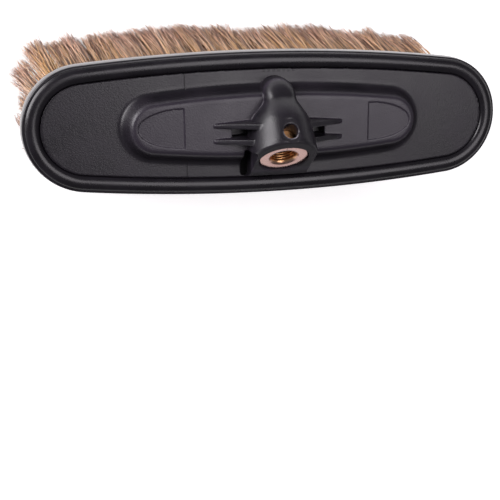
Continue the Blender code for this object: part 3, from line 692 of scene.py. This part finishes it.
def make_bumper_ring(material):
    """Its section: bowed wall, rounded corner, flange, groove, broad bead and inner lip."""
    upper = [(-0.0008, 0.0), (-0.00075, 0.0020), (-0.00055, 0.0042), (-0.0002, 0.0062)]
    upper += arc((0.0010, 0.0075), (0.0010, 0.0010), 170, 90, 6)
    upper += [(0.0014, 0.0085), (0.0016, 0.0083), (0.0017, 0.0081), (0.0019, 0.0081),
              (0.0020, 0.0087)]
    upper += arc((0.0048, 0.0075), (0.0037, 0.0028), 150, 0, 24)
    upper += [(0.0084, 0.0061), (0.0032, 0.0061)]
    outline = upper + [(inset, -rise) for inset, rise in upper[:0:-1]]
    middle = (RIM_BOTTOM + RIM_TOP) / 2
    bm = bmesh.new()
    loft(bm, [(HEAD, inset + 0.0003, middle + rise) for inset, rise in outline], closed=True)
    mesh = mesh_of("rubber_bumper", bm, 40)
    return settle("rubber_bumper", mesh, material, ["bumper_ring"])


# Bristle board and its screws

def with_cuts(name, mesh, cutter):
    """A mesh with a cutter's solids taken out of it."""
    thing, tool = new_object(name, mesh), new_object(name + "_cutter", cutter)
    step = thing.modifiers.new("cut", "BOOLEAN")
    step.operation = "DIFFERENCE"
    step.solver = "EXACT"
    step.object = tool
    result = finished_mesh(thing)
    bpy.data.objects.remove(tool)
    result.shade_smooth()
    result.set_sharp_from_angle(angle=math.radians(35))
    return result


def make_bristle_board(material):
    """A plate drilled for its tufts, with a soft lip at each hole, its sunk screws and water."""
    bm = bmesh.new()
    edge = [(BODY_INSET + 0.0008, BOARD_FACE), (BODY_INSET + 0.0002, BOARD_FACE + 0.0002),
            (BODY_INSET, BOARD_FACE + 0.0008), (BODY_INSET, BOARD_LEDGE),
            (FLANGE_INSET, BOARD_LEDGE), (FLANGE_INSET, BOARD_TOP)]
    loft(bm, [(HEAD, inset, z) for inset, z in edge])
    plain = mesh_of("board_plate", bm, 35)
    tuft_hole = [(0.0031, -0.001), (0.0031, 0.0), (0.0027, 0.0005), (0.0026, 0.0040)]
    screw_hole = [(0.00305, -0.001), (0.00305, 0.0024), (0.0018, 0.0024), (0.0018, 0.0090)]
    water_hole, spacing = [(0.0014, -0.001), (0.0011, 0.0004), (0.0011, 0.0090)], 0.020
    holes = [(place, tuft_hole, 18) for row in TUFT_ROWS for place, _ in oval_stations(*row)]
    holes += [(place, screw_hole, 24) for place, _ in oval_stations(HEAD, SCREW_INSET, SCREWS, 0.0)]
    holes += [(Vector((spacing * number, 0.0)), water_hole, 16) for number in range(-3, 4)]
    cutter = bmesh.new()
    for place, profile, steps in holes:
        turned(cutter, profile, steps, Matrix.Translation((place.x, place.y, BOARD_FACE)))
    mesh = with_cuts("drilled_board", plain, mesh_of("board_cutter", cutter, 35))
    return settle("drilled_board", mesh, material, ["bristle_board"])


def screw_mesh():
    """A pan head with a cross recess, and a shank with a wound thread and a point."""
    head = [(0.00255, 0.0), (0.00272, 0.0002), (0.00275, 0.0006), (0.00275, 0.0018),
            (0.0014, 0.0018)]
    steps, rows, pitch, core, tooth_height = 20, 72, 0.0011, 0.00118, 0.00026
    begin, length, point = 0.0020, 0.0088, (0.0001, 0.0123)
    turns = [2 * math.pi * step / steps for step in range(steps)]
    loops = [[(radius, height)] * steps for radius, height in head]
    for row in range(rows + 1):
        height = begin + length * row / rows
        teeth = [abs(2 * ((height / pitch + step / steps) % 1.0) - 1) for step in range(steps)]
        loops.append([(core + tooth_height * tooth, height) for tooth in teeth])
    loops.append([point] * steps)
    bm = bmesh.new()
    skin(bm, [[(radius * math.cos(turn), radius * math.sin(turn), height)
               for turn, (radius, height) in zip(turns, loop)] for loop in loops], False)
    arm, half, deep, taper = 0.0016, 0.0003, 0.0010, 0.45
    corner = [(arm, -half), (arm, half), (half, half)]
    plus = corner + [(-y, x) for x, y in corner]
    plus += [(-x, -y) for x, y in plus]
    cross = bmesh.new()
    skin(cross, [[(x * share, y * share, height) for x, y in plus]
                 for share, height in ((1.0, -deep), (taper, deep))], False)
    blank = mesh_of("screw_blank", bm, 35)
    return with_cuts("cross_head_screw", blank, mesh_of("screw_cross", cross, 35))


def repeat_tree():
    """Sets a piece on every point, turned about Z by chance."""
    tree, given = new_tree("repeat_on_points", [("Piece", "Object", None), ("Seed", "Int", 0)])
    piece = add(tree, "GeometryNodeObjectInfo", Object=given["Piece"]).outputs["Geometry"]
    turn = add(tree, "FunctionNodeRandomValue", {"data_type": "FLOAT_VECTOR"}, i0=(0.0, 0.0, 0.0),
               i1=(0.0, 0.0, 6.28), Seed=given["Seed"]).outputs[0]
    points = add(tree, "GeometryNodeMeshToPoints", Mesh=given["Geometry"]).outputs[0]
    placed = add(tree, "GeometryNodeInstanceOnPoints", Points=points, Instance=piece,
                 Rotation=turn).outputs[0]
    real = add(tree, "GeometryNodeRealizeInstances", Geometry=placed).outputs[0]
    return finished_tree(tree, given, real)


def make_board_screws(material):
    """The screws that hold the board, their heads sunk in it."""
    pattern = new_object("screw_pattern", screw_mesh())
    points = bpy.data.meshes.new("screw_points")
    places = oval_stations(HEAD, SCREW_INSET, SCREWS, 0.0)
    points.from_pydata([(place.x, place.y, BOARD_FACE + 0.0004) for place, _ in places], [], [])
    settings = {"Piece": pattern, "Material": material, "Seed": 3}
    mesh = grown_mesh("cross_head_screws", points, repeat_tree(), settings)
    bpy.data.objects.remove(pattern)
    nodes = [f"board_screw_{number}" for number in range(1, SCREWS + 1)]
    return settle("cross_head_screws", mesh, material, nodes)


# Inlet insert

def make_inlet_insert(material):
    """A turned bush: chamfered mouth, flat face, and a G 1/4 thread that winds down its bore."""
    place = Matrix.Translation(INLET_MOUTH) @ Matrix.Rotation(INLET_TILT, 4, "X")
    recess, pitch, tooth_height, crest = 0.0011, 0.001337, 0.00009, 0.7
    place = place @ Matrix.Translation((0.0, 0.0, -recess))
    bore, lead_in, length, steps, rows = 0.0062, 0.0016, 0.0160, 96, 120
    profile = [(0.0059, -length), (0.0121, -length), (0.0121, -0.0004), (0.0120, -0.00012),
               (0.0117, 0.0), (0.0097, 0.0), (0.0077, 0.0), (0.0075, -0.0001), (bore, -0.0014)]
    loops = [(radius, height, 0.0) for radius, height in profile]
    for row in range(rows):
        depth = lead_in + (length - lead_in) * row / rows
        loops.append((bore, -depth, min(1.0, row / 8)))
    rings = []
    for radius, height, fade in loops:
        ring = []
        for step in range(steps):
            angle = 2 * math.pi * step / steps
            phase = (height / pitch + step / steps) % 1.0
            tooth = 2 * abs(2 * phase - 1) - 1
            reach = radius + fade * tooth_height * max(-crest, min(crest, tooth)) / crest
            ring.append(place @ Vector((reach * math.cos(angle), reach * math.sin(angle), height)))
        rings.append(ring)
    bm = bmesh.new()
    skin(bm, rings, closed=True)
    mesh = mesh_of("brass_inlet_insert", bm, 50)
    return settle("brass_inlet_insert", mesh, material, ["inlet_insert"])


# Bristles

# What the hair tree can be told: lengths in metres, but spread and fork start as shares of a hair
HAIR_INPUTS = [
    ("Hairs per tuft", "Int", 150),
    ("Clumps per tuft", "Int", 15),
    ("Split ends", "Int", 2),
    ("Root radius", "Float", 0.0022),
    ("Flare across", "Float", 0.0080),
    ("Flare along", "Float", 0.0075),
    ("Hair radius", "Float", 0.00026),
    ("Length spread", "Float", 0.075),
    ("Bend", "Float", 0.0026),
    ("Fork", "Float", 0.0030),
    ("Fork start", "Float", 0.80),
    ("Seed", "Int", 7),
]


def tuft_tree():
    """Grows every hair of each tuft point: gathered at the root, flared, bent, split at its end."""
    tree, given = new_tree("bristle_tufts", HAIR_INPUTS)
    maths = partial(maths_node, tree)
    vectors = partial(vector_node, tree)

    def scaled(vector, factor):
        node = add(tree, "ShaderNodeVectorMath", {"operation": "SCALE"}, i0=vector, Scale=factor)
        return node.outputs[0]

    def named(kind, name):
        node = add(tree, "GeometryNodeInputNamedAttribute", {"data_type": kind}, Name=name)
        return node.outputs[0]

    def store(geometry, kind, name, value):
        node = add(tree, "GeometryNodeStoreNamedAttribute", {"data_type": kind, "domain": "POINT"},
                   Geometry=geometry, Name=name, Value=value)
        return node.outputs[0]

    def chance(low, high, number, offset):
        seed = maths("ADD", given["Seed"], offset)
        return add(tree, "FunctionNodeRandomValue", {"data_type": "FLOAT"}, i2=low, i3=high,
                   ID=number, Seed=seed).outputs[1]

    def direction(number, offset):
        seed = maths("ADD", given["Seed"], offset)
        return add(tree, "FunctionNodeRandomValue", {"data_type": "FLOAT_VECTOR"},
                   i0=(-1.0, -1.0, 0.0), i1=(1.0, 1.0, 0.0), ID=number, Seed=seed).outputs[0]

    tufts = add(tree, "GeometryNodeMeshToPoints", Mesh=given["Geometry"]).outputs[0]
    copies = add(tree, "GeometryNodeDuplicateElements", {"domain": "POINT"}, Geometry=tufts,
                 Amount=given["Hairs per tuft"])
    hairs = copies.outputs["Geometry"]
    tuft = named("INT", "tuft")
    clump = maths("ADD", maths("MULTIPLY", tuft, 64.0),
                  maths("MODULO", copies.outputs[1], given["Clumps per tuft"]))
    hair = maths("ADD", maths("MULTIPLY", tuft, 1024.0), copies.outputs[1])
    hairs = store(hairs, "INT", "hair", hair)
    hairs = store(hairs, "INT", "clump", clump)
    hair = named("INT", "hair")
    clump = named("INT", "clump")

    def in_disc(number, offset):
        angle = chance(0.0, 2 * math.pi, number, offset)
        reach = maths("SQRT", chance(0.0, 1.0, number, offset + 1))
        return (maths("MULTIPLY", reach, maths("COSINE", angle)),
                maths("MULTIPLY", reach, maths("SINE", angle)))

    across, along = (maths("ADD", maths("MULTIPLY", clumped, 0.66), maths("MULTIPLY", loose, 0.44))
                     for clumped, loose in zip(in_disc(clump, 10), in_disc(hair, 20)))
    outward = named("FLOAT_VECTOR", "outward")
    sideways = vectors("CROSS_PRODUCT", outward, (0.0, 0.0, 1.0))
    position = add(tree, "GeometryNodeInputPosition").outputs[0]
    at_root, at_tip = (vectors("ADD", scaled(outward, maths("MULTIPLY", across, given[wide])),
                               scaled(sideways, maths("MULTIPLY", along, given[deep])))
                       for wide, deep in (("Root radius", "Root radius"),
                                          ("Flare across", "Flare along")))
    short = maths("ADD", maths("MULTIPLY", chance(0.0, 0.6, clump, 30), given["Length spread"]),
                  maths("MULTIPLY", chance(0.0, 0.4, hair, 31), given["Length spread"]))
    landing = vectors("ADD", named("FLOAT_VECTOR", "landing"), at_tip)
    start = vectors("ADD", position, at_root)
    lean = scaled(vectors("SUBTRACT", landing, start), maths("SUBTRACT", 1.0, short))
    hairs = store(hairs, "FLOAT_VECTOR", "lean", lean)
    swerve = vectors("ADD", direction(hair, 40), direction(clump, 41))
    hairs = store(hairs, "FLOAT_VECTOR", "bend", scaled(swerve, given["Bend"]))
    tone = maths("ADD", chance(-0.9, 2.1, hair, 50),
                 maths("ADD", chance(0.0, 0.35, clump, 51), chance(0.0, 0.15, tuft, 52)))
    hairs = store(hairs, "FLOAT", "tone", tone)
    gold = maths("ADD", chance(-0.5, 0.7, hair, 53), chance(-0.3, 0.5, tuft, 54))
    hairs = store(hairs, "FLOAT", "gold", gold)
    girth = maths("MULTIPLY", given["Hair radius"], chance(0.75, 1.25, hair, 60))
    hairs = store(hairs, "FLOAT", "girth", girth)
    hairs = add(tree, "GeometryNodeSetPosition", Geometry=hairs, Offset=at_root).outputs[0]
    bodies = store(hairs, "FLOAT", "begin", 0.0)
    bodies = store(bodies, "FLOAT_VECTOR", "fork", (0.0, 0.0, 0.0))
    split = add(tree, "GeometryNodeDuplicateElements", {"domain": "POINT"}, Geometry=hairs,
                Amount=given["Split ends"])
    end = maths("ADD", maths("MULTIPLY", named("INT", "hair"), 8.0), split.outputs[1])
    ends = store(split.outputs["Geometry"], "INT", "end", end)
    end = named("INT", "end")
    begin = maths("ADD", given["Fork start"], chance(-0.12, 0.12, end, 70))
    ends = store(ends, "FLOAT", "begin", begin)
    ends = store(ends, "FLOAT_VECTOR", "fork", scaled(direction(end, 71), given["Fork"]))
    ends = store(ends, "FLOAT", "girth", maths("MULTIPLY", named("FLOAT", "girth"), 0.75))

    def unit(node, lift):
        """A plain hair one metre long, standing on its root, that keeps its own form."""
        lifted = add(tree, "GeometryNodeSetPosition", Geometry=node.outputs[0],
                     Offset=(0.0, 0.0, lift)).outputs[0]
        return store(lifted, "FLOAT_VECTOR", "form", position)

    body = unit(add(tree, "GeometryNodeMeshCylinder", {"fill_type": "NGON"}, Vertices=3,
                    Side_Segments=4, Radius=1.0, Depth=1.0), 0.5)
    point = unit(add(tree, "GeometryNodeMeshCone", {"fill_type": "NGON"}, Vertices=3,
                     Side_Segments=2, Radius_Top=0.0, Radius_Bottom=1.0, Depth=1.0), 0.0)
    bodies = add(tree, "GeometryNodeInstanceOnPoints", Points=bodies, Instance=body).outputs[0]
    ends = add(tree, "GeometryNodeInstanceOnPoints", Points=ends, Instance=point).outputs[0]
    both = add(tree, "GeometryNodeJoinGeometry", Geometry=bodies)
    feed(tree, both, Geometry=ends)
    real = add(tree, "GeometryNodeRealizeInstances", Geometry=both.outputs[0]).outputs[0]

    form = named("FLOAT_VECTOR", "form")
    parts = split_place(tree, form)
    begin = named("FLOAT", "begin")
    share = maths("ADD", begin, maths("MULTIPLY", parts["Z"], maths("SUBTRACT", 1.0, begin)))
    thin = maths("SUBTRACT", 1.0, maths("MULTIPLY", share, 0.45))
    flat = add(tree, "ShaderNodeCombineXYZ", X=parts["X"], Y=parts["Y"]).outputs[0]
    middle = vectors("SUBTRACT", position, form)
    arch = maths("MULTIPLY", maths("MULTIPLY", share, maths("SUBTRACT", 1.0, share)), 4.0)
    wave = maths("SINE", maths("MULTIPLY", share, 4.0))
    swing = maths("ADD", maths("MULTIPLY", arch, 0.6), maths("MULTIPLY", wave, 0.2))
    ease = maths("POWER", share, 1.12)
    lean = split_place(tree, named("FLOAT_VECTOR", "lean"))
    path = add(tree, "ShaderNodeCombineXYZ", X=maths("MULTIPLY", lean["X"], ease),
               Y=maths("MULTIPLY", lean["Y"], ease),
               Z=maths("MULTIPLY", lean["Z"], share)).outputs[0]
    place = vectors("ADD", middle, path)
    place = vectors("ADD", place, scaled(named("FLOAT_VECTOR", "bend"), swing))
    spread = maths("POWER", parts["Z"], 1.5)
    place = vectors("ADD", place, scaled(named("FLOAT_VECTOR", "fork"), spread))
    place = vectors("ADD", place, scaled(flat, maths("MULTIPLY", named("FLOAT", "girth"), thin)))
    real = store(real, "FLOAT", "along", share)
    real = add(tree, "GeometryNodeSetPosition", Geometry=real, Position=place).outputs[0]
    for name in ("form", "fork", "bend", "lean", "begin", "girth", "landing", "outward", "clump",
                 "hair", "tuft", "end"):
        real = add(tree, "GeometryNodeRemoveAttribute", Geometry=real, Name=name).outputs[0]
    return finished_tree(tree, given, real)


def grown_mesh(name, points, tree, settings):
    """The plain mesh that a tree makes of some points; settings are named as the tree's inputs."""
    piece = new_object(name, points)
    modifier = piece.modifiers.new("tree", "NODES")
    modifier.node_group = tree
    for item in tree.interface.items_tree:
        if item.in_out == "INPUT" and item.name in settings:
            modifier[item.identifier] = settings[item.name]
    return finished_mesh(piece)


def grow(name, tree, tufts, node, settings):
    """One piece of bristle from tuft points given as (root, outward, landing, number)."""
    mesh = bpy.data.meshes.new(name)
    mesh.from_pydata([tuft[0] for tuft in tufts], [], [])
    for label, kind, column, value in (("outward", "FLOAT_VECTOR", 1, "vector"),
                                       ("landing", "FLOAT_VECTOR", 2, "vector"),
                                       ("tuft", "INT", 3, "value")):
        layer = mesh.attributes.new(label, kind, "POINT")
        layer.data.foreach_set(value, np.array([tuft[column] for tuft in tufts]).ravel())
    grown = grown_mesh(name, mesh, tree, settings)
    grown.shade_smooth()
    return settle(name, grown, settings["Material"], [node])


def make_bristles(material):
    """Three rows of tufts that flare to the box of the solids and bulge at its back corners."""
    tree = tuft_tree()
    half = (cad_box[1][0] - 0.0020, cad_box[1][1] - 0.0005)
    sunk, corner_bulge, uneven = 0.0007, 0.0088, 0.0014
    # Row, pieces, flare across and along, hairs per tuft, how far inside the box the tufts land
    rows = [("outer", 3, 0.0052, 0.0092, 160, 0.0032),
            ("middle", 2, 0.0080, 0.0075, 140, 0.0205),
            ("inner", 2, 0.0080, 0.0075, 140, 0.0375)]
    number = 0
    chance = np.random.default_rng(11)
    for (oval, inset, count), (label, pieces, across, along, hairs, margin) in zip(TUFT_ROWS, rows):
        tufts = []
        for place, outward in oval_stations(oval, inset, count):
            start = Vector((place.x, place.y, BOARD_FACE + sunk))
            landing = Vector((place.x / (oval[0] - inset) * (half[0] - margin),
                              place.y / (oval[1] - inset) * (half[1] - margin), 0.0))
            bulge = corner_bulge * math.sqrt(2 * abs(outward.x * outward.y)) * max(outward.y, 0.2)
            bulge += chance.uniform(-uneven, uneven)
            tufts.append((start, outward, landing + outward * bulge, number))
            number += 1
        settings = {"Hairs per tuft": hairs, "Flare across": across, "Flare along": along,
                    "Material": material}
        for part in range(pieces):
            few = tufts[part * count // pieces:(part + 1) * count // pieces]
            grow(f"bristles_{label}_{part + 1}", tree, few, f"bristle_ring_{label}", settings)


# Camera, floor, room and lamps

def make_camera():
    """Looks down on the back from the left, as the photograph's upper view does."""
    place = Vector((-0.11776, 0.04887, 0.51711))
    right = Vector((0.9691, -0.0125, 0.2462))
    forward = Vector((0.2347, -0.2587, -0.9370))
    data = bpy.data.cameras.new("camera")
    data.sensor_width = 36.0
    data.lens = 60.78
    camera = new_object("camera", data)
    turn = Matrix((right, right.cross(forward), -forward)).transposed().to_4x4()
    camera.matrix_world = Matrix.Translation(place) @ turn
    bpy.context.scene.camera = camera


def make_lamp(name, place, size, energy, colour):
    """A soft lamp that faces the middle of the head's back."""
    data = bpy.data.lights.new(name, "AREA")
    data.shape = "RECTANGLE"
    data.size, data.size_y = size
    data.energy = energy
    data.color = colour
    lamp = new_object(name, data)
    lamp.location = place
    aim = Vector((0.0, 0.0, 0.09)) - Vector(place)
    lamp.rotation_euler = aim.to_track_quat("-Z", "Y").to_euler()


def make_floor():
    """A white floor, clear from below. What mirrors it sees it brighter on the left."""
    material, tree, shader = new_material("white_sweep")
    bright, dim = 0.62, 0.34
    path = add(tree, "ShaderNodeLightPath").outputs
    mirrored = maths_node(tree, "MAXIMUM", path["Is Glossy Ray"], path["Is Transmission Ray"])
    level = mapped(tree, split_place(tree, object_place(tree))["X"], -0.6, 0.4, bright, dim)
    mirrored = maths_node(tree, "MULTIPLY", mirrored, level)
    glow = maths_node(tree, "MULTIPLY_ADD", path["Is Camera Ray"], bright, mirrored)
    feed(tree, shader, Base_Color=hex_colour("#F4F4F4"), Roughness=0.9, Emission_Strength=glow,
         Emission_Color=(1.0, 1.0, 1.0, 1.0))
    clear = add(tree, "ShaderNodeBsdfTransparent").outputs[0]
    below = add(tree, "ShaderNodeNewGeometry").outputs["Backfacing"]
    sided = add(tree, "ShaderNodeMixShader", i0=below, i1=shader.outputs[0], i2=clear).outputs[0]
    feed(tree, tree.nodes["Material Output"], Surface=sided)
    bm = bmesh.new()
    bmesh.ops.create_grid(bm, x_segments=1, y_segments=1, size=30.0)
    mesh = bpy.data.meshes.new("floor")
    bm.to_mesh(mesh)
    bm.free()
    mesh.materials.append(material)
    floor = new_object("floor", mesh)


def make_room():
    """A dim room that is pale at the horizon and white below it, and two large soft lamps."""
    world = bpy.data.worlds.new("studio")
    bpy.context.scene.world = world
    world.use_nodes = True
    tree = world.node_tree
    height = split_place(tree, add(tree, "ShaderNodeTexCoord").outputs["Generated"])["Z"]
    sky = add(tree, "ShaderNodeMapRange", {"interpolation_type": "SMOOTHSTEP"}, i0=height, i1=0.03,
              i2=0.10, i3=0.42, i4=0.15).outputs[0]
    level = maths_node(tree, "MAXIMUM", sky, maths_node(tree, "LESS_THAN", height, -0.05))
    feed(tree, tree.nodes["Background"], Color=(0.97, 0.95, 1.0, 1.0), Strength=level)
    make_lamp("overhead", (0.31, 0.18, 1.25), (0.85, 0.72), 7.3, (1.0, 0.95, 1.0))
    make_lamp("left", (-1.06, 0.54, 0.36), (0.80, 0.9), 19.5, (1.0, 0.97, 1.0))


def main():
    """Dresses every CAD node, then sets up the camera, the floor, the room and the view."""
    make_back_shell(back_plastic())
    grey = moulded("moulded_polypropylene_grey", ("#47444A", "#545056"), 0.48, 0.35)
    seal = moulded("nitrile_seal_cord", ("#121212", "#1A1A1A"), 0.55, 0.10)
    make_bumper_ring(bumper_rubber())
    make_inlet_insert(turned_brass())
    make_bristle_board(grey)
    make_board_screws(rolled_steel())
    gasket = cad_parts["chamber_gasket"]
    gasket.data.materials.clear()
    gasket.data.materials.append(seal)
    make_bristles(natural_bristle())
    make_camera()
    make_floor()
    make_room()
    bpy.context.scene.view_settings.view_transform = "Standard"


main()
